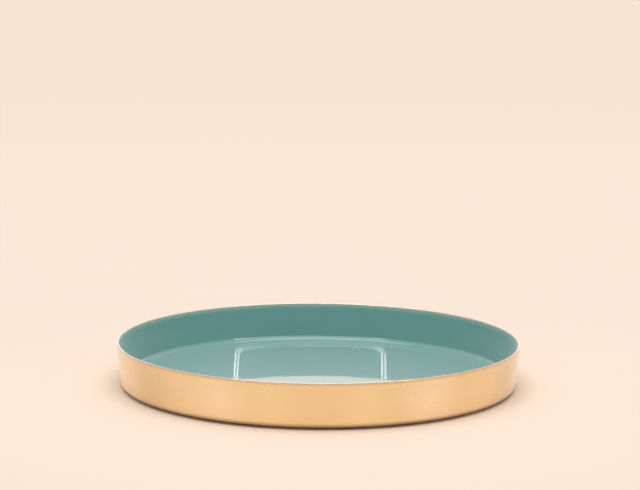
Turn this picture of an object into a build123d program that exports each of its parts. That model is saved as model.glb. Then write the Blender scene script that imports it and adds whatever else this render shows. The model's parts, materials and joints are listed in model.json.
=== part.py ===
from build123d import *
import math
import os

# Shallow round coin tray: a spun brass pan with a fired enamel lining, standing on four stick-on felt pads.
# Lengths are millimetres. +Z is up, and the origin is the centre of the surface that the tray stands on.

# Spun pan: one sheet of brass, drawn into a flat base, a rounded corner and a wall that leans out a little.
rim_diameter = 200.0
base_diameter = 196.0
pan_height = 21.6
sheet_thickness = 0.8
corner_radius = 2.6
rim_edge_radius = 0.3

# Enamel lining: a glassy coat over the inside of the pan, thicker where it pools in the corner.
# It stops where the rounding of the rim starts.
enamel_thickness = 0.25
enamel_pool_radius = 1.7
enamel_lip_radius = 0.12

# Felt pads: each one is a disc of pressed felt, stuck on with a slightly smaller disc of adhesive film.
pad_count = 4
pad_diameter = 12.0
pad_thickness = 0.75
pad_edge_radius = 0.2
pad_circle_diameter = 150.0
pad_start_angle = 45.0
film_thickness = 0.1
film_margin = 0.3

# Heights, from the table up.
pan_bottom = pad_thickness + film_thickness
pan_floor = pan_bottom + sheet_thickness
enamel_floor = pan_floor + enamel_thickness
rim_top = pan_bottom + pan_height
enamel_top = rim_top - rim_edge_radius

# The lean of the wall, its depths from the outer face, and the radii of the inside corners.
wall_lean = math.atan2((rim_diameter - base_diameter) / 2, pan_height)
outer_face = 0
lined_face = sheet_thickness
enamel_face = sheet_thickness + enamel_thickness
lined_corner_radius = corner_radius - sheet_thickness
cove_radius = lined_corner_radius + enamel_pool_radius


def wall_point(height, depth):
    """Point of the wall's profile, as (radius, height), at a depth measured square to the outer face."""
    outer_radius = base_diameter / 2 + (height - pan_bottom) * math.tan(wall_lean)
    return (outer_radius - depth / math.cos(wall_lean), height)


def round_corner(profile, place, radius):
    """Rounds the corner of a profile that stands at a place."""
    fillet(profile.vertices().sort_by_distance((*place, 0))[0], radius=radius)


def finish_piece(part, name):
    """Gives a finished piece its name and writes it."""
    part.label = name
    export_step(part, f"parts/{name}.step")


os.makedirs("parts", exist_ok=True)

# Brass pan
with BuildPart() as brass_pan:
    with BuildSketch(Plane.XZ) as pan_profile:
        with BuildLine():
            Polyline(
                (0, pan_bottom),
                wall_point(pan_bottom, outer_face),
                wall_point(rim_top, outer_face),
                wall_point(rim_top, lined_face),
                wall_point(pan_floor, lined_face),
                (0, pan_floor),
                close=True,
            )
        make_face()
        round_corner(pan_profile, wall_point(pan_bottom, outer_face), corner_radius)
        round_corner(pan_profile, wall_point(pan_floor, lined_face), lined_corner_radius)
        round_corner(pan_profile, wall_point(rim_top, outer_face), rim_edge_radius)
        round_corner(pan_profile, wall_point(rim_top, lined_face), rim_edge_radius)
    revolve(axis=Axis.Z)
finish_piece(brass_pan.part, "brass_pan")

# Enamel lining
with BuildPart() as enamel_lining:
    with BuildSketch(Plane.XZ) as coat_profile:
        with BuildLine():
            Polyline(
                (0, pan_floor),
                wall_point(pan_floor, lined_face),
                wall_point(enamel_top, lined_face),
                wall_point(enamel_top, enamel_face),
                wall_point(enamel_floor, enamel_face),
                (0, enamel_floor),
                close=True,
            )
        make_face()
        round_corner(coat_profile, wall_point(pan_floor, lined_face), lined_corner_radius)
        round_corner(coat_profile, wall_point(enamel_floor, enamel_face), cove_radius)
        round_corner(coat_profile, wall_point(enamel_top, enamel_face), enamel_lip_radius)
    revolve(axis=Axis.Z)
finish_piece(enamel_lining.part, "enamel_lining")

# Felt pads and their adhesive films
pad_places = PolarLocations(pad_circle_diameter / 2, pad_count, pad_start_angle)
for number, place in enumerate(pad_places, start=1):
    with BuildPart() as felt_pad:
        with BuildSketch(Plane.XY):
            with Locations(place):
                Circle(pad_diameter / 2)
        extrude(amount=pad_thickness)
        fillet(felt_pad.edges().group_by(Axis.Z)[0], radius=pad_edge_radius)
    finish_piece(felt_pad.part, f"felt_pad_{number}")

    with BuildPart() as adhesive_film:
        with BuildSketch(Plane.XY.offset(pad_thickness)):
            with Locations(place):
                Circle(pad_diameter / 2 - film_margin)
        extrude(amount=film_thickness)
    finish_piece(adhesive_film.part, f"adhesive_film_{number}")
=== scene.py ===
import json
import math
import random

import bpy
from bpy.props import FloatProperty, FloatVectorProperty, IntProperty, PointerProperty
from bpy.types import Operator, Panel, PropertyGroup
from mathutils import Matrix, Vector, noise


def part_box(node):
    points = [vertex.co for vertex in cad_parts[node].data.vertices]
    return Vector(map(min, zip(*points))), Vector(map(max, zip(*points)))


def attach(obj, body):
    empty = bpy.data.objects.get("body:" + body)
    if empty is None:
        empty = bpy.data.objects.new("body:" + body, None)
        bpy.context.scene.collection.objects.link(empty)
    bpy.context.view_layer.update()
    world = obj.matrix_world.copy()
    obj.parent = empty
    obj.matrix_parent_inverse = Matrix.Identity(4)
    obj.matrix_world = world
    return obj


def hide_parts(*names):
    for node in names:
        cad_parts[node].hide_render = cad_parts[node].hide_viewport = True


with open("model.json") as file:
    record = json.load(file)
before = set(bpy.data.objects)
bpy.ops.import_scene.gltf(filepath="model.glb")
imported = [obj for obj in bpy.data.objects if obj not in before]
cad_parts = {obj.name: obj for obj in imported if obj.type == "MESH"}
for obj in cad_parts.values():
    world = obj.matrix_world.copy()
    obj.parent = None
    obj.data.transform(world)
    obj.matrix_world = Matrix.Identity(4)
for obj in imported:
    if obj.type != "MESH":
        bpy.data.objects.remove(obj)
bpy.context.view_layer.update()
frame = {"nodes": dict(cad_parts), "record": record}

bl_info = {
    "name": "Coin Tray",
    "version": (1, 0, 0),
    "blender": (4, 5, 0),
    "location": "3D View > Sidebar > Coin Tray",
    "description": "A spun brass pan with a green enamel lining on felt pads, and the studio it stands in",
    "category": "Object",
}

MM = 0.001
UP = Vector((0, 0, 1))

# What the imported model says, in metres.
PAN_LOW, PAN_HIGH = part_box("brass_pan")
COAT_LOW, COAT_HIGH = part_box("enamel_lining")
PAD_NODES = sorted(node for node in frame["nodes"] if node.startswith("felt_pad"))
FILM_NODES = sorted(node for node in frame["nodes"] if node.startswith("adhesive_film"))
MOUNT_PLACES = {mount["name"]: Vector(mount["pos_m"]) for mount in frame["record"]["mounts"]}
SHEET_THICKNESS = COAT_LOW.z - PAN_LOW.z
COAT_THICKNESS = MOUNT_PLACES["tray_floor"].z - COAT_LOW.z

# Profiles of the pan and the enamel: the longest run that stays whole, the short piece at each end of a
# divided run as a share of it, and the steps round the axis.
LONGEST_RUN = 2.5 * MM
END_RUN_SHARE = 0.06
TURN_SEGMENTS = 400

# How strong the quick waves of the wall and of the enamel are beside the slow ones.
WALL_QUICK_SHARE = 0.25
FLOW_QUICK_SHARE = 0.3

# Enamel: the rounding of its lip, where its waves fade out as shares of the foot's radius, and how steeply it
# rises towards the foot.
LIP_ROUNDING = 0.48 * COAT_THICKNESS
FLOW_END_SHARES = (0.9, 0.97)
DISH_POWER = 4

# The span that most values of a Noise texture lie in.
TANGLE_SPAN = (0.3, 0.7)

# How the dull clouds of the brass are scaled along X, Y and Z, so that they stand tall on the wall.
BRASS_CLOUD_SCALES = (1, 1, 0.3)

# How bright the clouds in the adhesive film are, as a share of its colour.
FILM_CLOUD_SHARE = 0.8

# Patches on the brass wall: their angle from its front (more is to the right), their reach and their colour.
# The dark patches are painted reflections of the shadowed floor, and the bright ones are painted highlights.
PATCHES = (
    (-55, 40 * MM, "brass_painted_dark_reflection"),
    (66, 26 * MM, "brass_painted_dark_reflection"),
    (-27, 26 * MM, "brass_painted_highlight"),
    (31, 31 * MM, "brass_painted_highlight"),
)
PATCH_DISTANCE = 0.99 * PAN_HIGH.x
PATCH_HEIGHT = PAN_HIGH.z / 2

# Felt pads: the roundings of the foot and the top, how deep the cut edge is tattered and the foot is dimpled,
# and where the tatter starts and the dimples end, as shares of the pad's radius and thickness.
FOOT_ROUNDING = 0.2 * MM
TOP_ROUNDING = 0.06 * MM
TATTER_DEPTH = 0.16 * MM
TATTER_START_SHARE = 0.9
DIMPLE_DEPTH = 0.05 * MM
DIMPLE_END_SHARE = 0.3
FELT_RUN = 0.25 * MM
FELT_SEGMENTS = 120

# Loose fibres: their radius at the root, the share of it that is lost at the tip, and how deep in the pad and
# between which shares of its thickness they are rooted.
FIBRE_RADIUS = 0.014 * MM
FIBRE_TAPER = 0.8
FIBRE_ROOT_DEPTH = 0.14 * MM
FIBRE_ROOT_SHARES = (0.2, 0.85)

# Floor: how far it reaches each way, and the distances from the tray's axis over which it takes its far
# colour and its even tone.
FLOOR_REACH = 8.0
FLOOR_TINT_SPAN = (0.3, 2.0)
FLOOR_EVEN_SPAN = (0.12, 0.26)

# Room: where its open front turns into its sides, and its sides into its back, along Y, and how steeply from
# above the sides' extra light falls on the brass that throws it on the floor.
ROOM_FRONT_SPAN = (-0.8, -0.55)
ROOM_BACK_SPAN = (0.4, 0.95)
ROOM_BOUNCE_SPAN = (0.15, 0.45)

# Window frame in front of the tray: its two lines stand on either side of the window's edge, fade out at
# their low ends and dim towards the top. The corners are flattened, and a rail that is brighter at its ends
# lies on top.
WINDOW_LINE_OFFSET = math.radians(1.0)
WINDOW_LINE_SPAN = (math.radians(0.3), math.radians(0.7))
WINDOW_LOW_END_SPAN = (math.radians(14), math.radians(18))
WINDOW_FLATTENING = 4.0
WINDOW_TOP_SHARE = 0.32
WINDOW_RAIL_HALF = math.radians(3)
WINDOW_RAIL_END_SPAN = (0.84, 0.94)
WINDOW_RAIL_SHARES = (0.19, 0.5)


# Settings


class TraySizes(PropertyGroup):
    """Sizes of the tray."""

    rim_radius: FloatProperty(
        name="Rim radius",
        description="Radius of the wall's outer face at the rim",
        default=100 * MM,
        unit="LENGTH",
    )
    foot_radius: FloatProperty(
        name="Foot radius",
        description="Radius at which the wall's outer face would meet the base if the bend were sharp",
        default=98 * MM,
        unit="LENGTH",
    )
    bend_radius: FloatProperty(
        name="Bend radius",
        description="Outer radius of the bend between the base and the wall",
        default=2.6 * MM,
        unit="LENGTH",
    )
    rim_rounding: FloatProperty(
        name="Rim rounding",
        description="Radius of the rounded edges of the metal at the rim",
        default=0.3 * MM,
        unit="LENGTH",
    )
    enamel_pool: FloatProperty(
        name="Enamel pool",
        description="How much larger the radius of the enamel's cove is than that of the bend under it",
        default=1.7 * MM,
        unit="LENGTH",
    )
    wall_waver: FloatProperty(
        name="Wall waver",
        description="How far the spun wall strays from a true cone",
        default=0.06 * MM,
        unit="LENGTH",
    )
    enamel_flow: FloatProperty(
        name="Enamel flow",
        description="Height of the slow waves that the enamel set in",
        default=0.03 * MM,
        unit="LENGTH",
    )
    enamel_dish: FloatProperty(
        name="Enamel dish",
        description="How much higher the enamel sets at the foot of the wall than in the middle",
        default=0.55 * MM,
        unit="LENGTH",
    )
    fibre_length: FloatProperty(
        name="Felt fibres",
        description="Length of the longest loose fibres round a felt pad",
        default=0.9 * MM,
        unit="LENGTH",
    )
    fibre_count: IntProperty(
        name="Fibre count",
        description="Number of loose fibres round a felt pad",
        default=320,
        min=0,
    )


class TrayColours(PropertyGroup):
    """Colours of the tray, as the light that each surface sends back."""

    brass: FloatVectorProperty(
        name="Brass",
        description="Clean brass",
        default=(0.925, 0.705, 0.405),
        subtype="COLOR",
    )
    brass_dull: FloatVectorProperty(
        name="Brass, dull",
        description="Duller and redder brass",
        default=(0.87, 0.63, 0.335),
        subtype="COLOR",
    )
    # Painted reflection: darker patches on the wall's ends stand in for the shadowed floor that the brass
    # mirrors there.
    brass_painted_dark_reflection: FloatVectorProperty(
        name="Brass, patina",
        description="Browned patches of brass",
        default=(0.72, 0.52, 0.28),
        subtype="COLOR",
    )
    # Painted highlight: brighter patches on the wall stand in for light that the brass mirrors there.
    brass_painted_highlight: FloatVectorProperty(
        name="Brass, bright",
        description="Patches that a cloth has brightened",
        default=(0.97, 0.76, 0.49),
        subtype="COLOR",
    )
    # A darker, greyer band of brass along the rim.
    brass_rim: FloatVectorProperty(
        name="Brass, rim",
        description="Worn and greyer brass along the rim",
        default=(0.38, 0.37, 0.36),
        subtype="COLOR",
    )
    # Painted shade: a dark band in the bend at the foot of the wall stands in for the shadowed floor that the
    # bend mirrors.
    brass_painted_foot_shade: FloatVectorProperty(
        name="Brass, foot",
        description="Tarnish in the bend at the foot of the wall",
        default=(0.36, 0.2, 0.08),
        subtype="COLOR",
    )
    enamel: FloatVectorProperty(
        name="Enamel",
        description="The lining where it is thick",
        default=(0.164, 0.38, 0.356),
        subtype="COLOR",
    )
    enamel_pale: FloatVectorProperty(
        name="Enamel, pale",
        description="Paler clouds in the lining",
        default=(0.178, 0.403, 0.37),
        subtype="COLOR",
    )
    enamel_lip: FloatVectorProperty(
        name="Enamel, lip",
        description="The lining where it thins out at the rim",
        default=(0.6, 0.57, 0.47),
        subtype="COLOR",
    )
    felt: FloatVectorProperty(
        name="Felt",
        description="Dark wool in the felt",
        default=(0.075, 0.07, 0.064),
        subtype="COLOR",
    )
    felt_pale: FloatVectorProperty(
        name="Felt, pale",
        description="Pale wool in the felt",
        default=(0.2, 0.19, 0.175),
        subtype="COLOR",
    )
    film: FloatVectorProperty(
        name="Film",
        description="Adhesive film",
        default=(0.63, 0.6, 0.5),
        subtype="COLOR",
    )
    film_bubbles: FloatVectorProperty(
        name="Film, bubbles",
        description="Air trapped in the film",
        default=(0.8, 0.79, 0.74),
        subtype="COLOR",
    )


class StageSettings(PropertyGroup):
    """The floor, the room and the camera."""

    floor: FloatVectorProperty(
        name="Floor",
        description="Colour of the floor",
        default=(0.98, 0.812, 0.687),
        subtype="COLOR",
    )
    floor_far: FloatVectorProperty(
        name="Floor, far",
        description="Colour of the floor far behind the tray",
        default=(0.939, 0.776, 0.652),
        subtype="COLOR",
    )
    room: FloatVectorProperty(
        name="Room",
        description="Colour of the room in glossy surfaces",
        default=(1.0, 0.93, 0.92),
        subtype="COLOR",
    )
    ambient: FloatProperty(
        name="Ambient light",
        description="Light that comes evenly from all sides",
        default=0.585,
        min=0,
    )
    doorway: FloatProperty(
        name="Doorway",
        description="Brightness of the open front of the room in glossy surfaces",
        default=0.1,
        min=0,
    )
    room_sides: FloatProperty(
        name="Room, sides",
        description="Brightness of the room's sides in glossy surfaces",
        default=1.05,
        min=0,
    )
    room_back: FloatProperty(
        name="Room, back",
        description="How much brighter the back of the room is than its sides",
        default=0.4,
        min=0,
    )
    room_bounce: FloatProperty(
        name="Room, bounce",
        description="Extra light of the room's sides that the brass throws on the floor",
        default=0.8,
        min=0,
    )
    window_light: FloatProperty(
        name="Window frame",
        description="Brightness of the window's frame in glossy surfaces",
        default=38.0,
        min=0,
    )
    window_middle: FloatProperty(
        name="Window, middle",
        description="Where the window is: 0 is behind the camera, and more is to its right",
        default=math.radians(5.45),
        subtype="ANGLE",
    )
    window_half: FloatProperty(
        name="Window, half",
        description="Half of the window's width",
        default=math.radians(47.35),
        subtype="ANGLE",
    )
    window_top: FloatProperty(
        name="Window, top",
        description="Height of the window's top in its middle",
        default=math.radians(24.95),
        subtype="ANGLE",
    )
    window_sag: FloatProperty(
        name="Window, sag",
        description="How much lower the window's top is at its sides",
        default=math.radians(1.45),
        subtype="ANGLE",
    )
    window_corner: FloatProperty(
        name="Window, corner",
        description="Rounding of the window's upper corners",
        default=math.radians(4),
        subtype="ANGLE",
    )
    camera_distance: FloatProperty(
        name="Camera distance",
        description="From the tray's axis, along the floor",
        default=1.0,
        unit="LENGTH",
    )
    camera_height: FloatProperty(
        name="Camera height",
        description="Above the floor",
        default=0.2251,
        unit="LENGTH",
    )
    camera_across: FloatProperty(
        name="Camera across",
        description="To the right of the tray's axis",
        default=0.38 * MM,
        unit="LENGTH",
    )
    camera_pitch: FloatProperty(
        name="Camera pitch",
        description="How far the camera looks down",
        default=math.radians(8.819),
        subtype="ANGLE",
    )
    camera_roll: FloatProperty(
        name="Camera roll",
        description="How far the camera leans",
        default=math.radians(0.48),
        subtype="ANGLE",
    )
    camera_lens: FloatProperty(
        name="Lens",
        description="Focal length in millimetres, on a 36 mm wide sensor",
        default=115.1,
        min=1,
    )


# Profiles: lists of (radius, height) points from the axis outwards


def shift_profile(corners, depth):
    """Shifts a profile square to itself, towards its inner side. Its first corner stays on the axis."""
    points = [Vector(corner) for corner in corners]
    runs = [(end - start).normalized() for start, end in zip(points, points[1:])]
    sides = [Vector((-run.y, run.x)) for run in runs]
    shifted = []
    for point, before, after in zip(points, sides[:1] + sides, sides + sides[-1:]):
        middle = (before + after).normalized()
        shifted.append(tuple(point + middle * (depth / middle.dot(before))))
    return shifted


def end_at_height(corners, height):
    """Moves the end of a profile along its last run, to a height."""
    foot, top = Vector(corners[-2]), Vector(corners[-1])
    return corners[:-1] + [tuple(foot.lerp(top, (height - foot.y) / (top.y - foot.y)))]


def round_corner(before, corner, after, radius, steps):
    """The arc that rounds the corner between two neighbours, as points."""
    corner = Vector(corner)
    back = (Vector(before) - corner).normalized()
    ahead = (Vector(after) - corner).normalized()
    half = back.angle(ahead) / 2
    centre = corner + (back + ahead).normalized() * (radius / math.sin(half))
    start = corner + back * (radius / math.tan(half)) - centre
    end = corner + ahead * (radius / math.tan(half)) - centre
    sweep = math.pi - 2 * half
    arc = []
    for step in range(steps + 1):
        share = step / steps
        ray = start * math.sin((1 - share) * sweep) + end * math.sin(share * sweep)
        arc.append(tuple(centre + ray / math.sin(sweep)))
    return arc


def divide_runs(points, longest):
    """Divides the long runs of a profile. A short piece at each end keeps the shading flat between them."""
    divided = [points[0]]
    for start, end in zip(points, points[1:]):
        run = Vector(end) - Vector(start)
        count = math.ceil(run.length / longest)
        if count > 1:
            short = END_RUN_SHARE * longest / run.length
            stops = [short] + [step / count for step in range(1, count)] + [1 - short, 1]
        else:
            stops = [1]
        divided += [tuple(Vector(start) + run * stop) for stop in stops]
    return divided


def base_and_wall(sizes):
    """The corners of the pan's outer face: the axis, the foot of the wall and the rim."""
    return [(0.0, PAN_LOW.z), (sizes.foot_radius, PAN_LOW.z), (sizes.rim_radius, PAN_HIGH.z)]


# Meshes


def turn_profile(profile, segments, stray, centre=Vector((0, 0, 0))):
    """Turns a profile that starts and ends on the axis into the vertices and faces of a closed shell."""

    def strayed(radius, height, angle=0.0):
        """A point of the shell, moved by as much as the surface strays there."""
        place = Vector((radius * math.cos(angle), radius * math.sin(angle), height))
        return centre + place + stray(place)

    vertices = [
        strayed(radius, height, 2 * math.pi * step / segments)
        for radius, height in profile[1:-1]
        for step in range(segments)
    ]
    start_pole = len(vertices)
    end_pole = start_pole + 1
    vertices += [strayed(*profile[0]), strayed(*profile[-1])]
    last_ring = len(profile) - 3
    faces = []
    for step in range(segments):
        after = (step + 1) % segments
        faces.append((start_pole, after, step))
        for ring in range(last_ring):
            low = ring * segments
            high = low + segments
            faces.append((low + step, low + after, high + after, high + step))
        faces.append((end_pole, last_ring * segments + step, last_ring * segments + after))
    return vertices, faces


def link_mesh(name, vertices, faces):
    """Makes a smooth mesh object and puts it in the scene."""
    mesh = bpy.data.meshes.new(name)
    mesh.from_pydata(vertices, [], faces)
    mesh.shade_smooth()
    piece = bpy.data.objects.new(name, mesh)
    bpy.context.scene.collection.objects.link(piece)
    return piece


def smooth_step(low, high, value):
    """0 below the low value, 1 above the high one, and a soft ramp between them."""
    share = min(1.0, max(0.0, (value - low) / (high - low)))
    return share * share * (3 - 2 * share)


def waves(place, scale, shift):
    """Smooth waves between -1 and 1, as many to the metre as the scale says. The shift picks them."""
    return noise.noise(place * scale + Vector(shift))


def wall_stray(place):
    """How far the spun wall strays sideways from a true cone. The base stays flat."""
    sizes = bpy.context.scene.tray_sizes
    outward = Vector((place.x, place.y, 0)) / max(place.xy.length, MM)
    slow = waves(place, scale=16, shift=(3.1, 0.4, 2.2))
    quick = waves(place, scale=55, shift=(0.3, 9.1, 4.7))
    up_the_wall = smooth_step(PAN_LOW.z + sizes.bend_radius, PAN_HIGH.z, place.z)
    return outward * ((slow + WALL_QUICK_SHARE * quick) * sizes.wall_waver * up_the_wall)


def enamel_stray(place):
    """How far the enamel strays from its true shape: with the wall, and in waves and a rise on its floor."""
    sizes = bpy.context.scene.tray_sizes
    level = Vector((place.x, place.y, 0))
    slow = waves(level, scale=17, shift=(4.1, 0.6, 2.9))
    quick = waves(level, scale=48, shift=(6.1, 2.3, 0.7))
    flow_ends = [share * sizes.foot_radius for share in FLOW_END_SHARES]
    on_floor = 1 - smooth_step(*flow_ends, level.length)
    on_face = smooth_step(COAT_LOW.z, COAT_LOW.z + COAT_THICKNESS, place.z)
    up_the_cove = smooth_step(0, sizes.bend_radius + sizes.enamel_pool, place.z - COAT_LOW.z)
    dish = sizes.enamel_dish * (level.length / sizes.foot_radius) ** DISH_POWER * (1 - up_the_cove)
    flow = (slow + FLOW_QUICK_SHARE * quick) * sizes.enamel_flow * on_floor
    return wall_stray(place) + UP * ((dish + flow) * on_face)


def around(azimuth, distance, height):
    """A place round the tray. Azimuth 0 is its front, and it grows towards the front's right."""
    turn = math.radians(azimuth)
    return Vector((distance * math.sin(turn), -distance * math.cos(turn), height))


# Nodes


def add_node(tree, kind, inputs=None, **settings):
    """Adds a node. Each input is either a value or the output that feeds it."""
    node = tree.nodes.new(kind)
    for name, value in settings.items():
        setattr(node, name, value)
    for socket, value in (inputs or {}).items():
        if isinstance(value, bpy.types.NodeSocket):
            tree.links.new(value, node.inputs[socket])
        else:
            node.inputs[socket].default_value = value
    return node


def calculate(tree, kind, *values):
    """The output of a Math node."""
    return add_node(tree, "ShaderNodeMath", dict(enumerate(values)), operation=kind).outputs["Value"]


def ramp(tree, value, low, high, first, last, kind="LINEAR"):
    """A value mapped from low to high onto first to last, and held past both ends."""
    span = {"Value": value, "From Min": low, "From Max": high, "To Min": first, "To Max": last}
    return add_node(tree, "ShaderNodeMapRange", span, interpolation_type=kind).outputs["Result"]


def tangle(tree, place, scale, detail):
    """The values of a Noise texture."""
    noise_inputs = {"Vector": place, "Scale": scale, "Detail": detail}
    return add_node(tree, "ShaderNodeTexNoise", noise_inputs).outputs["Fac"]


def split_place(tree, place):
    """The X, Y and Z of a place."""
    return add_node(tree, "ShaderNodeSeparateXYZ", {"Vector": place}).outputs


def join_place(tree, parts):
    """A place made of its parts. A part that isn't given is 0."""
    return add_node(tree, "ShaderNodeCombineXYZ", parts).outputs["Vector"]


def axis_distance(tree, parts):
    """How far a place is from the tray's axis, given its parts."""
    level = join_place(tree, {"X": parts["X"], "Y": parts["Y"]})
    return add_node(tree, "ShaderNodeVectorMath", {0: level}, operation="LENGTH").outputs["Value"]


def place_distance(tree, first, second):
    """How far two places are apart."""
    inputs = {0: first, 1: second}
    return add_node(tree, "ShaderNodeVectorMath", inputs, operation="DISTANCE").outputs["Value"]


def mix_colours(tree, share, first, second):
    """A mix of two colours, each of which is an output or three numbers. Sockets 6, 7 and 2 carry colours."""
    colours = [item if isinstance(item, bpy.types.NodeSocket) else (*item, 1) for item in (first, second)]
    inputs = {0: share, 6: colours[0], 7: colours[1]}
    return add_node(tree, "ShaderNodeMix", inputs, data_type="RGBA").outputs[2]


def mix_shaders(tree, share, first, second):
    """A mix of two shaders."""
    return add_node(tree, "ShaderNodeMixShader", {"Fac": share, 1: first, 2: second}).outputs["Shader"]


def add_bump(tree, height, distance, below=None):
    """A relief whose height runs from 0 to 1 over a distance, on top of the relief below it."""
    inputs = {"Height": height, "Distance": distance}
    if below is not None:
        inputs["Normal"] = below
    return add_node(tree, "ShaderNodeBump", inputs).outputs["Normal"]


def set_sockets(shader, values):
    """Sets what is the same all over a surface on the shader's own sockets."""
    for socket, value in values.items():
        shader.inputs[socket].default_value = value


# Effects: node groups that the materials share


def new_group(name, places, numbers, output):
    """Makes a node group with place inputs, number inputs with defaults, and one number output."""
    tree = bpy.data.node_groups.new(name, "ShaderNodeTree")
    for label in places:
        tree.interface.new_socket(name=label, in_out="INPUT", socket_type="NodeSocketVector")
    for label, default in numbers.items():
        socket = tree.interface.new_socket(name=label, in_out="INPUT", socket_type="NodeSocketFloat")
        socket.default_value = default
    tree.interface.new_socket(name=output, in_out="OUTPUT", socket_type="NodeSocketFloat")
    return tree, tree.nodes.new("NodeGroupInput").outputs, tree.nodes.new("NodeGroupOutput").inputs[output]


def place_group(tree, maker, inputs):
    """Places a node group in a material. The group is built the first time that it is needed."""
    group = bpy.data.node_groups.get(maker.__name__) or maker(maker.__name__)
    return add_node(tree, "ShaderNodeGroup", inputs, node_tree=group).outputs[0]


def clouds(name):
    """Soft clouds: a value from low to high that changes slowly over the surface."""
    numbers = {"Scale": 20.0, "Detail": 3.0, "Low": 0.0, "High": 1.0}
    tree, given, result = new_group(name, ["Vector"], numbers, "Value")
    cloud = tangle(tree, given["Vector"], given["Scale"], given["Detail"])
    tree.links.new(ramp(tree, cloud, *TANGLE_SPAN, given["Low"], given["High"]), result)
    return tree


def turned_lines(name):
    """Fine lines round the axis, as a lathe leaves them: rings on a base, and level lines on a wall."""
    numbers = {"Lines": 4000.0, "Breaks": 8.0, "Low": 0.0, "High": 1.0}
    tree, given, result = new_group(name, ["Vector"], numbers, "Value")
    parts = split_place(tree, given["Vector"])
    along = calculate(tree, "ADD", axis_distance(tree, parts), parts["Z"])
    stretched = {
        "X": calculate(tree, "MULTIPLY", parts["X"], given["Breaks"]),
        "Y": calculate(tree, "MULTIPLY", parts["Y"], given["Breaks"]),
        "Z": calculate(tree, "MULTIPLY", along, given["Lines"]),
    }
    line = tangle(tree, join_place(tree, stretched), scale=1.0, detail=4.0)
    tree.links.new(ramp(tree, line, *TANGLE_SPAN, given["Low"], given["High"]), result)
    return tree


def ring_band(name):
    """A mask that is 1 along a ring round the axis and fades out over a reach, with a ragged edge."""
    numbers = {"Radius": 0.1, "Height": 0.02, "Reach": 0.001, "Ragged": 0.3}
    tree, given, result = new_group(name, ["Vector"], numbers, "Mask")
    parts = split_place(tree, given["Vector"])
    here = join_place(tree, {"X": axis_distance(tree, parts), "Z": parts["Z"]})
    ring = join_place(tree, {"X": given["Radius"], "Z": given["Height"]})
    share = calculate(tree, "DIVIDE", place_distance(tree, here, ring), given["Reach"])
    tatter = tangle(tree, given["Vector"], scale=260.0, detail=3.0)
    spread = calculate(tree, "MULTIPLY", tatter, given["Ragged"])
    tree.links.new(ramp(tree, calculate(tree, "ADD", share, spread), 0.0, 1.0, 1.0, 0.0), result)
    return tree


def soft_patch(name):
    """A mask that is 1 at a place and fades out over a reach round it, with an uneven edge."""
    tree, given, result = new_group(name, ["Vector", "Middle"], {"Reach": 0.02, "Ragged": 0.3}, "Mask")
    share = calculate(tree, "DIVIDE", place_distance(tree, given["Vector"], given["Middle"]), given["Reach"])
    tatter = tangle(tree, given["Vector"], scale=60.0, detail=2.0)
    spread = calculate(tree, "MULTIPLY", tatter, given["Ragged"])
    mask = ramp(tree, calculate(tree, "ADD", share, spread), 0.0, 1.0, 1.0, 0.0, "SMOOTHSTEP")
    tree.links.new(mask, result)
    return tree


def specks(name):
    """A mask of small round specks, such as pits or dust. A larger share leaves more of them."""
    tree, given, result = new_group(name, ["Vector"], {"Scale": 400.0, "Size": 0.12, "Share": 0.1}, "Mask")
    cell_inputs = {"Vector": given["Vector"], "Scale": given["Scale"]}
    cells = add_node(tree, "ShaderNodeTexVoronoi", cell_inputs).outputs
    near = calculate(tree, "LESS_THAN", cells["Distance"], given["Size"])
    choice = add_node(tree, "ShaderNodeSeparateColor", {"Color": cells["Color"]}).outputs["Red"]
    kept = calculate(tree, "LESS_THAN", choice, given["Share"])
    tree.links.new(calculate(tree, "MULTIPLY", near, kept), result)
    return tree


# Materials


def new_material(name):
    """A new material, with its node tree, its Principled shader and the object's own coordinates."""
    material = bpy.data.materials.new(name)
    material.use_nodes = True
    tree = material.node_tree
    place = add_node(tree, "ShaderNodeTexCoord").outputs["Object"]
    return material, tree, tree.nodes["Principled BSDF"], place


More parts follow.
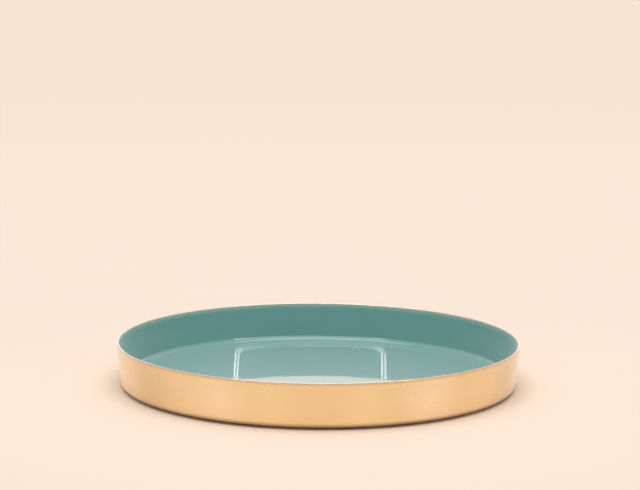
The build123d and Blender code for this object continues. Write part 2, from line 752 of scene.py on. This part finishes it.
def spun_brass(colours, foot_radius):
    """Spun brass: level lines, clouds, dark patches of painted reflection, bright patches of painted
    highlight, pits, a darker rim and painted shade in the bend.
    """
    material, tree, shader, place = new_material("spun_brass")
    scaled = {0: place, 1: BRASS_CLOUD_SCALES}
    tall = add_node(tree, "ShaderNodeVectorMath", scaled, operation="MULTIPLY").outputs["Vector"]
    dull = place_group(tree, clouds, {"Vector": tall, "Scale": 32.0, "Detail": 2.0})
    streaks = place_group(tree, turned_lines, {"Vector": place, "Lines": 420.0, "Breaks": 5.0, "High": 0.18})
    colour = mix_colours(tree, dull, colours.brass, colours.brass_dull)
    colour = mix_colours(tree, streaks, colour, colours.brass_dull)
    # The dark patches are painted reflections of the shadowed floor, and the bright ones are painted
    # highlights.
    for turn, reach, patch_colour in PATCHES:
        middle = around(turn, PATCH_DISTANCE, PATCH_HEIGHT)
        mask = place_group(tree, soft_patch, {"Vector": place, "Middle": middle, "Reach": reach})
        colour = mix_colours(tree, mask, colour, getattr(colours, patch_colour))
    # A darker, greyer band along the rim.
    rim = {"Radius": PAN_HIGH.x, "Height": PAN_HIGH.z, "Reach": 2.1 * MM, "Ragged": 0.4}
    darker_rim = place_group(tree, ring_band, {"Vector": place, **rim})
    colour = mix_colours(tree, darker_rim, colour, colours.brass_rim)
    # Painted shade in the bend at the foot of the wall, where it mirrors the shadowed floor.
    bend = {"Radius": foot_radius, "Height": PAN_LOW.z, "Reach": 2.9 * MM, "Ragged": 0.3}
    foot_shade = place_group(tree, ring_band, {"Vector": place, **bend})
    colour = mix_colours(tree, foot_shade, colour, colours.brass_painted_foot_shade)
    tree.links.new(colour, shader.inputs["Base Color"])
    gloss = place_group(tree, clouds, {"Vector": place, "Scale": 34.0, "Low": 0.25, "High": 0.33})
    fine = {"Lines": 5200.0, "Breaks": 30.0, "Low": -0.02, "High": 0.03}
    grain = place_group(tree, turned_lines, {"Vector": place, **fine})
    tree.links.new(calculate(tree, "ADD", gloss, grain), shader.inputs["Roughness"])
    lines = place_group(tree, turned_lines, {"Vector": place, "Lines": 2600.0, "Breaks": 9.0})
    pits = place_group(tree, specks, {"Vector": place, "Scale": 900.0, "Size": 0.16, "Share": 0.03})
    relief = add_bump(tree, lines, 0.0015 * MM)
    relief = add_bump(tree, pits, -0.01 * MM, relief)
    tree.links.new(relief, shader.inputs["Normal"])
    rings = add_node(tree, "ShaderNodeTangent", direction_type="RADIAL", axis="Z")
    tree.links.new(rings.outputs["Tangent"], shader.inputs["Tangent"])
    set_sockets(shader, {"Metallic": 1.0, "Anisotropic": 0.35, "Coat Weight": 0.95, "Coat Roughness": 0.22})
    return material


def fired_enamel(colours):
    """Fired enamel: a deep gloss over slow waves and orange peel, paler where it thins out at the lip."""
    material, tree, shader, place = new_material("fired_enamel")
    cloud = place_group(tree, clouds, {"Vector": place, "Scale": 14.0, "Detail": 4.0})
    mottle = place_group(tree, clouds, {"Vector": place, "Scale": 420.0, "Detail": 2.0, "High": 0.35})
    edge = {"Radius": COAT_HIGH.x, "Height": COAT_HIGH.z, "Reach": 3 * MM, "Ragged": 0.35}
    lip = place_group(tree, ring_band, {"Vector": place, **edge})
    dust = place_group(tree, specks, {"Vector": place, "Scale": 260.0, "Size": 0.07, "Share": 0.08})
    colour = mix_colours(tree, cloud, colours.enamel, colours.enamel_pale)
    colour = mix_colours(tree, mottle, colour, colours.enamel)
    colour = mix_colours(tree, lip, colour, colours.enamel_lip)
    colour = mix_colours(tree, dust, colour, colours.enamel_lip)
    tree.links.new(colour, shader.inputs["Base Color"])
    smears = {"Scale": 60.0, "Detail": 4.0, "Low": 0.015, "High": 0.045}
    gloss = place_group(tree, clouds, {"Vector": place, **smears})
    tree.links.new(gloss, shader.inputs["Roughness"])
    swell = place_group(tree, clouds, {"Vector": place, "Scale": 75.0, "Detail": 1.0})
    peel = place_group(tree, clouds, {"Vector": place, "Scale": 300.0, "Detail": 1.0})
    pinholes = place_group(tree, specks, {"Vector": place, "Scale": 330.0, "Size": 0.06, "Share": 0.04})
    relief = add_bump(tree, swell, 0.012 * MM)
    relief = add_bump(tree, peel, 0.002 * MM, relief)
    relief = add_bump(tree, pinholes, -0.02 * MM, relief)
    tree.links.new(relief, shader.inputs["Normal"])
    set_sockets(shader, {"IOR": 1.6, "Coat Weight": 0.42, "Coat Roughness": 0.4})
    set_sockets(shader, {"Sheen Weight": 0.36, "Sheen Roughness": 0.5})
    return material


def pressed_felt(colours):
    """Pressed wool felt: dark and pale fibres with a soft sheen."""
    material, tree, shader, place = new_material("pressed_felt")
    wool = place_group(tree, clouds, {"Vector": place, "Scale": 2600.0, "Detail": 6.0})
    patch = place_group(tree, clouds, {"Vector": place, "Scale": 380.0, "High": 0.5})
    fluff = place_group(tree, specks, {"Vector": place, "Scale": 1500.0, "Size": 0.2, "Share": 0.12})
    colour = mix_colours(tree, wool, colours.felt, colours.felt_pale)
    colour = mix_colours(tree, patch, colour, colours.felt)
    colour = mix_colours(tree, fluff, colour, colours.felt_pale)
    tree.links.new(colour, shader.inputs["Base Color"])
    tree.links.new(add_bump(tree, wool, 0.12 * MM), shader.inputs["Normal"])
    set_sockets(shader, {"Roughness": 1.0, "Sheen Weight": 0.4, "Specular IOR Level": 0.2})
    return material


def milky_film(colours):
    """Adhesive film: milky plastic with tiny trapped bubbles."""
    material, tree, shader, place = new_material("milky_film")
    milk = place_group(tree, clouds, {"Vector": place, "Scale": 700.0})
    bubbles = place_group(tree, specks, {"Vector": place, "Scale": 1800.0, "Size": 0.25, "Share": 0.15})
    shade = [channel * FILM_CLOUD_SHARE for channel in colours.film]
    colour = mix_colours(tree, milk, colours.film, shade)
    colour = mix_colours(tree, bubbles, colour, colours.film_bubbles)
    tree.links.new(colour, shader.inputs["Base Color"])
    smears = {"Scale": 900.0, "Detail": 2.0, "Low": 0.35, "High": 0.6}
    gloss = place_group(tree, clouds, {"Vector": place, **smears})
    tree.links.new(gloss, shader.inputs["Roughness"])
    tree.links.new(add_bump(tree, bubbles, 0.01 * MM), shader.inputs["Normal"])
    return material


# Pieces


def finish_piece(piece, material, node):
    """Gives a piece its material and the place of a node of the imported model."""
    piece.data.materials.append(material)
    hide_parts(node)
    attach(piece, "root")


class COINTRAY_OT_pan(Operator):
    """Spins the brass pan."""

    bl_idname = "coin_tray.pan"
    bl_label = "Brass pan"

    def execute(self, context):
        sizes = context.scene.tray_sizes
        outer = base_and_wall(sizes)
        inner = end_at_height(shift_profile(outer, SHEET_THICKNESS), PAN_HIGH.z)
        lined_bend = sizes.bend_radius - SHEET_THICKNESS
        profile = [outer[0]]
        profile += round_corner(*outer, sizes.bend_radius, steps=14)
        profile += round_corner(outer[1], outer[2], inner[2], sizes.rim_rounding, steps=6)
        profile += round_corner(outer[2], inner[2], inner[1], sizes.rim_rounding, steps=6)
        profile += round_corner(*reversed(inner), lined_bend, steps=10)
        profile.append(inner[0])
        shell = turn_profile(divide_runs(profile, LONGEST_RUN), TURN_SEGMENTS, wall_stray)
        finish = spun_brass(context.scene.tray_colours, sizes.foot_radius)
        finish_piece(link_mesh("spun_pan", *shell), finish, "brass_pan")
        return {"FINISHED"}


class COINTRAY_OT_enamel(Operator):
    """Coats the inside of the pan with enamel."""

    bl_idname = "coin_tray.enamel"
    bl_label = "Enamel lining"

    def execute(self, context):
        sizes = context.scene.tray_sizes
        outer = base_and_wall(sizes)
        under = end_at_height(shift_profile(outer, SHEET_THICKNESS), COAT_HIGH.z)
        face = end_at_height(shift_profile(outer, SHEET_THICKNESS + COAT_THICKNESS), COAT_HIGH.z)
        lined_bend = sizes.bend_radius - SHEET_THICKNESS
        profile = [under[0]]
        profile += round_corner(*under, lined_bend, steps=10)
        profile.append(under[2])
        profile += round_corner(under[2], face[2], face[1], LIP_ROUNDING, steps=6)
        profile += round_corner(*reversed(face), lined_bend + sizes.enamel_pool, steps=18)
        profile.append(face[0])
        shell = turn_profile(divide_runs(profile, LONGEST_RUN), TURN_SEGMENTS, enamel_stray)
        finish = fired_enamel(context.scene.tray_colours)
        finish_piece(link_mesh("enamel_coat", *shell), finish, "enamel_lining")
        return {"FINISHED"}


def tease_fibre(vertices, faces, root, direction, length, dice):
    """Adds a loose fibre to a pad: a thin bent tube that tapers to its tip and stays under the pan."""
    side = UP.cross(direction).normalized()
    bend = side * dice.uniform(-0.7, 0.7) + UP * dice.uniform(-0.25, 0.35)
    rings = 4
    corners = 3
    first = len(vertices)
    for ring in range(rings + 1):
        share = ring / rings
        middle = root + (direction + bend * share) * (length * share)
        middle.z = min(max(middle.z, 2 * FIBRE_RADIUS), PAN_LOW.z - 2 * FIBRE_RADIUS)
        reach = FIBRE_RADIUS * (1 - FIBRE_TAPER * share)
        for corner in range(corners):
            angle = 2 * math.pi * corner / corners
            vertices.append(middle + (side * math.cos(angle) + UP * math.sin(angle)) * reach)
    for ring in range(rings):
        low = first + corners * ring
        high = low + corners
        for corner in range(corners):
            after = (corner + 1) % corners
            faces.append((low + corner, low + after, high + after, high + corner))
    tip = first + corners * rings
    faces += [(first + 2, first + 1, first), (tip, tip + 1, tip + 2)]


def felt_disc(number, low, high, sizes):
    """A felt pad's vertices and faces: a disc with a ragged cut edge, a dimpled foot and loose fibres."""
    radius = (high.x - low.x) / 2
    thickness = high.z - low.z
    centre = Vector(((low.x + high.x) / 2, (low.y + high.y) / 2, low.z))
    shift = (7.3 * number, 2.1, 5.9)
    dice = random.Random(number)

    def felt_stray(place):
        """How far the felt strays inwards at its cut edge and upwards at its foot."""
        outward = Vector((place.x, place.y, 0)).normalized()
        at_edge = smooth_step(TATTER_START_SHARE * radius, radius, place.xy.length)
        at_foot = 1 - smooth_step(0, DIMPLE_END_SHARE * thickness, place.z)
        tatter = 0.5 + 0.5 * waves(place, scale=2400, shift=shift)
        dimple = 0.5 + 0.5 * waves(place, scale=1100, shift=shift)
        return UP * (DIMPLE_DEPTH * dimple * at_foot) - outward * (TATTER_DEPTH * tatter * at_edge)

    corners = [(0.0, 0.0), (radius, 0.0), (radius, thickness), (0.0, thickness)]
    profile = corners[:1]
    profile += round_corner(*corners[:3], FOOT_ROUNDING, steps=5)
    profile += round_corner(*corners[1:], TOP_ROUNDING, steps=3)
    profile += corners[3:]
    vertices, faces = turn_profile(divide_runs(profile, FELT_RUN), FELT_SEGMENTS, felt_stray, centre)
    for _ in range(sizes.fibre_count):
        angle = dice.uniform(0, 2 * math.pi)
        outward = Vector((math.cos(angle), math.sin(angle), 0))
        height = dice.uniform(*FIBRE_ROOT_SHARES) * thickness
        root = centre + outward * (radius - FIBRE_ROOT_DEPTH) + UP * height
        length = sizes.fibre_length * dice.uniform(0.15, 1.0) ** 2
        tease_fibre(vertices, faces, root, outward + UP * dice.uniform(-0.1, 0.15), length, dice)
    return vertices, faces


class COINTRAY_OT_pads(Operator):
    """Cuts the felt pads and teases out their loose fibres."""

    bl_idname = "coin_tray.pads"
    bl_label = "Felt pads"

    def execute(self, context):
        felt = pressed_felt(context.scene.tray_colours)
        for number, node in enumerate(PAD_NODES, start=1):
            shell = felt_disc(number, *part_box(node), context.scene.tray_sizes)
            disc = link_mesh(f"felt_disc_{number}", *shell)
            finish_piece(disc, felt, node)
        return {"FINISHED"}


class COINTRAY_OT_films(Operator):
    """Gives the discs of adhesive film their finish."""

    bl_idname = "coin_tray.films"
    bl_label = "Adhesive films"

    def execute(self, context):
        finish = milky_film(context.scene.tray_colours)
        for node in FILM_NODES:
            film = frame["nodes"][node]
            film.data.materials.clear()
            film.data.materials.append(finish)
        return {"FINISHED"}


# Stage


def floor_paper(stage):
    """Smooth paper: lit near the tray, where its shadow falls, and of one even tone far from it."""
    material, tree, shader, place = new_material("floor_paper")
    away = add_node(tree, "ShaderNodeVectorMath", {0: place}, operation="LENGTH").outputs["Value"]
    grain = place_group(tree, clouds, {"Vector": place, "Scale": 2.2, "High": 0.3})
    behind = ramp(tree, away, *FLOOR_TINT_SPAN, 0.0, 1.0, "SMOOTHSTEP")
    colour = mix_colours(tree, behind, stage.floor, stage.floor_far)
    colour = mix_colours(tree, grain, colour, stage.floor_far)
    tree.links.new(colour, shader.inputs["Base Color"])
    set_sockets(shader, {"Roughness": 1.0, "Specular IOR Level": 0.0})
    even = add_node(tree, "ShaderNodeEmission", {"Color": colour}).outputs["Emission"]
    ray = add_node(tree, "ShaderNodeLightPath").outputs
    mirrored = calculate(tree, "MAXIMUM", ray["Is Camera Ray"], ray["Is Glossy Ray"])
    seen = calculate(tree, "MAXIMUM", mirrored, ray["Is Transmission Ray"])
    far = ramp(tree, away, *FLOOR_EVEN_SPAN, 0.0, 1.0, "SMOOTHSTEP")
    mixed = mix_shaders(tree, calculate(tree, "MULTIPLY", seen, far), shader.outputs["BSDF"], even)
    tree.links.new(mixed, tree.nodes["Material Output"].inputs["Surface"])
    return material


def window_frame(tree, parts, stage):
    """A tall window's frame in front of the tray: two lines up its sides and over its top, and a rail."""

    def work(kind, *values):
        """The output of a Math node in this tree."""
        return calculate(tree, kind, *values)

    azimuth = work("ARCTAN2", parts["X"], work("MULTIPLY", parts["Y"], -1.0))
    across = work("ABSOLUTE", work("SUBTRACT", azimuth, stage.window_middle))
    beside = work("MAXIMUM", work("SUBTRACT", across, stage.window_half - stage.window_corner), 0.0)
    share = work("DIVIDE", across, stage.window_half)
    sag = work("MULTIPLY", work("MULTIPLY", share, share), stage.window_sag)
    rise = work("ARCSINE", parts["Z"])
    height = work("ADD", work("SUBTRACT", rise, stage.window_top), sag)
    flattened = work("MULTIPLY", height, WINDOW_FLATTENING)
    above = work("MAXIMUM", work("ADD", flattened, stage.window_corner), 0.0)
    reach = work("SQRT", work("ADD", work("MULTIPLY", beside, beside), work("MULTIPLY", above, above)))
    edge = work("ABSOLUTE", work("SUBTRACT", reach, stage.window_corner))
    off_line = work("ABSOLUTE", work("SUBTRACT", edge, WINDOW_LINE_OFFSET))
    line = ramp(tree, off_line, *WINDOW_LINE_SPAN, 1.0, 0.0)
    low_end = ramp(tree, rise, *WINDOW_LOW_END_SPAN, 0.0, 1.0)
    thinning = ramp(tree, height, -stage.window_corner / WINDOW_FLATTENING, 0.0, 1.0, WINDOW_TOP_SHARE)
    lines = work("MULTIPLY", work("MULTIPLY", line, low_end), thinning)
    off_rail = work("ABSOLUTE", work("SUBTRACT", height, WINDOW_RAIL_HALF))
    on_rail = work("MULTIPLY", work("LESS_THAN", off_rail, WINDOW_RAIL_HALF), work("LESS_THAN", share, 1.0))
    rail = work("MULTIPLY", on_rail, ramp(tree, share, *WINDOW_RAIL_END_SPAN, *WINDOW_RAIL_SHARES))
    return work("MAXIMUM", lines, rail)


def light_room(scene, stage):
    """The room: even light for matt surfaces, and a dark front, bright sides and a window for glossy ones."""
    scene.world = bpy.data.worlds.new("studio_room")
    scene.world.use_nodes = True
    tree = scene.world.node_tree
    parts = split_place(tree, add_node(tree, "ShaderNodeTexCoord").outputs["Generated"])
    ray = add_node(tree, "ShaderNodeLightPath").outputs

    # Matt surfaces, and what the brass throws on the floor
    slope = calculate(tree, "MULTIPLY", calculate(tree, "ABSOLUTE", parts["X"]), parts["Z"])
    bounce = ramp(tree, slope, *ROOM_BOUNCE_SPAN, 0.0, stage.room_bounce, "SMOOTHSTEP")
    thrown = calculate(tree, "MULTIPLY", ray["Is Glossy Ray"], bounce)
    ambient = tree.nodes["Background"]
    ambient.inputs["Color"].default_value = (1, 1, 1, 1)
    tree.links.new(calculate(tree, "ADD", thrown, stage.ambient), ambient.inputs["Strength"])

    # Glossy surfaces
    sides = ramp(tree, parts["Y"], *ROOM_FRONT_SPAN, stage.doorway, stage.room_sides, "SMOOTHSTEP")
    back = ramp(tree, parts["Y"], *ROOM_BACK_SPAN, 0.0, stage.room_back, "SMOOTHSTEP")
    window = calculate(tree, "MULTIPLY", window_frame(tree, parts, stage), stage.window_light)
    level = calculate(tree, "ADD", calculate(tree, "ADD", sides, back), window)
    mirrored = add_node(tree, "ShaderNodeBackground", {"Color": (*stage.room, 1), "Strength": level})
    direct = calculate(tree, "LESS_THAN", ray["Diffuse Depth"], 0.5)
    mirror = calculate(tree, "MULTIPLY", ray["Is Glossy Ray"], direct)
    lit = mix_shaders(tree, mirror, ambient.outputs["Background"], mirrored.outputs["Background"])

    # Backdrop
    behind = add_node(tree, "ShaderNodeBackground", {"Color": (*stage.floor_far, 1)})
    seen = calculate(tree, "MAXIMUM", ray["Is Camera Ray"], ray["Is Transmission Ray"])
    shown = mix_shaders(tree, seen, lit, behind.outputs["Background"])
    tree.links.new(shown, tree.nodes["World Output"].inputs["Surface"])


def hang_lamp(scene, name, place, width, radiance):
    """Hangs a square lamp of even brightness that faces the middle of the rim. The camera doesn't see it."""
    lamp = bpy.data.lights.new(name, "AREA")
    lamp.shape = "SQUARE"
    lamp.size = width
    lamp.energy = radiance * math.pi * width * width
    panel = bpy.data.objects.new(name, lamp)
    facing = (UP * PAN_HIGH.z - Vector(place)).to_track_quat("-Z", "Y")
    panel.matrix_world = Matrix.Translation(place) @ facing.to_matrix().to_4x4()
    panel.visible_camera = False
    scene.collection.objects.link(panel)


def set_camera(scene, stage):
    """Sets the camera at the photograph's viewing angle."""
    camera = bpy.data.objects.new("camera", bpy.data.cameras.new("camera"))
    camera.data.lens = stage.camera_lens
    camera.matrix_world = (
        Matrix.Translation((stage.camera_across, -stage.camera_distance, stage.camera_height))
        @ Matrix.Rotation(math.radians(90) - stage.camera_pitch, 4, "X")
        @ Matrix.Rotation(stage.camera_roll, 4, "Z")
    )
    scene.collection.objects.link(camera)
    scene.camera = camera


class COINTRAY_OT_stage(Operator):
    """Lays the floor, lights the room and sets the camera."""

    bl_idname = "coin_tray.stage"
    bl_label = "Stage"

    def execute(self, context):
        scene = context.scene
        stage = scene.tray_stage
        corners = [(-1, -1), (1, -1), (1, 1), (-1, 1)]
        places = [(x * FLOOR_REACH, y * FLOOR_REACH, 0) for x, y in corners]
        floor = link_mesh("floor", places, [(0, 1, 2, 3)])
        floor.data.materials.append(floor_paper(stage))
        light_room(scene, stage)
        hang_lamp(scene, "top_light", place=(0, -0.2, 1.35), width=1.3, radiance=2.02)
        set_camera(scene, stage)
        scene.view_settings.view_transform = "Standard"
        return {"FINISHED"}


# Add-on


OPERATORS = (COINTRAY_OT_pan, COINTRAY_OT_enamel, COINTRAY_OT_pads, COINTRAY_OT_films, COINTRAY_OT_stage)


class COINTRAY_PT_pieces(Panel):
    """Lists the pieces of the tray and the settings in the sidebar."""

    bl_idname = "COINTRAY_PT_pieces"
    bl_label = "Coin tray"
    bl_space_type = "VIEW_3D"
    bl_region_type = "UI"
    bl_category = "Coin Tray"

    def draw(self, context):
        for operator in OPERATORS:
            self.layout.operator(operator.bl_idname)
        for settings in (context.scene.tray_sizes, context.scene.tray_colours, context.scene.tray_stage):
            box = self.layout.box()
            for name in settings.__annotations__:
                box.prop(settings, name)


CLASSES = (TraySizes, TrayColours, StageSettings, *OPERATORS, COINTRAY_PT_pieces)


def register():
    for item in CLASSES:
        bpy.utils.register_class(item)
    bpy.types.Scene.tray_sizes = PointerProperty(type=TraySizes)
    bpy.types.Scene.tray_colours = PointerProperty(type=TrayColours)
    bpy.types.Scene.tray_stage = PointerProperty(type=StageSettings)


def unregister():
    del bpy.types.Scene.tray_stage
    del bpy.types.Scene.tray_colours
    del bpy.types.Scene.tray_sizes
    for item in reversed(CLASSES):
        bpy.utils.unregister_class(item)


def main():
    """Builds the tray and its stage."""
    register()
    bpy.ops.coin_tray.pan()
    bpy.ops.coin_tray.enamel()
    bpy.ops.coin_tray.pads()
    bpy.ops.coin_tray.films()
    bpy.ops.coin_tray.stage()


if __name__ == "__main__":
    main()
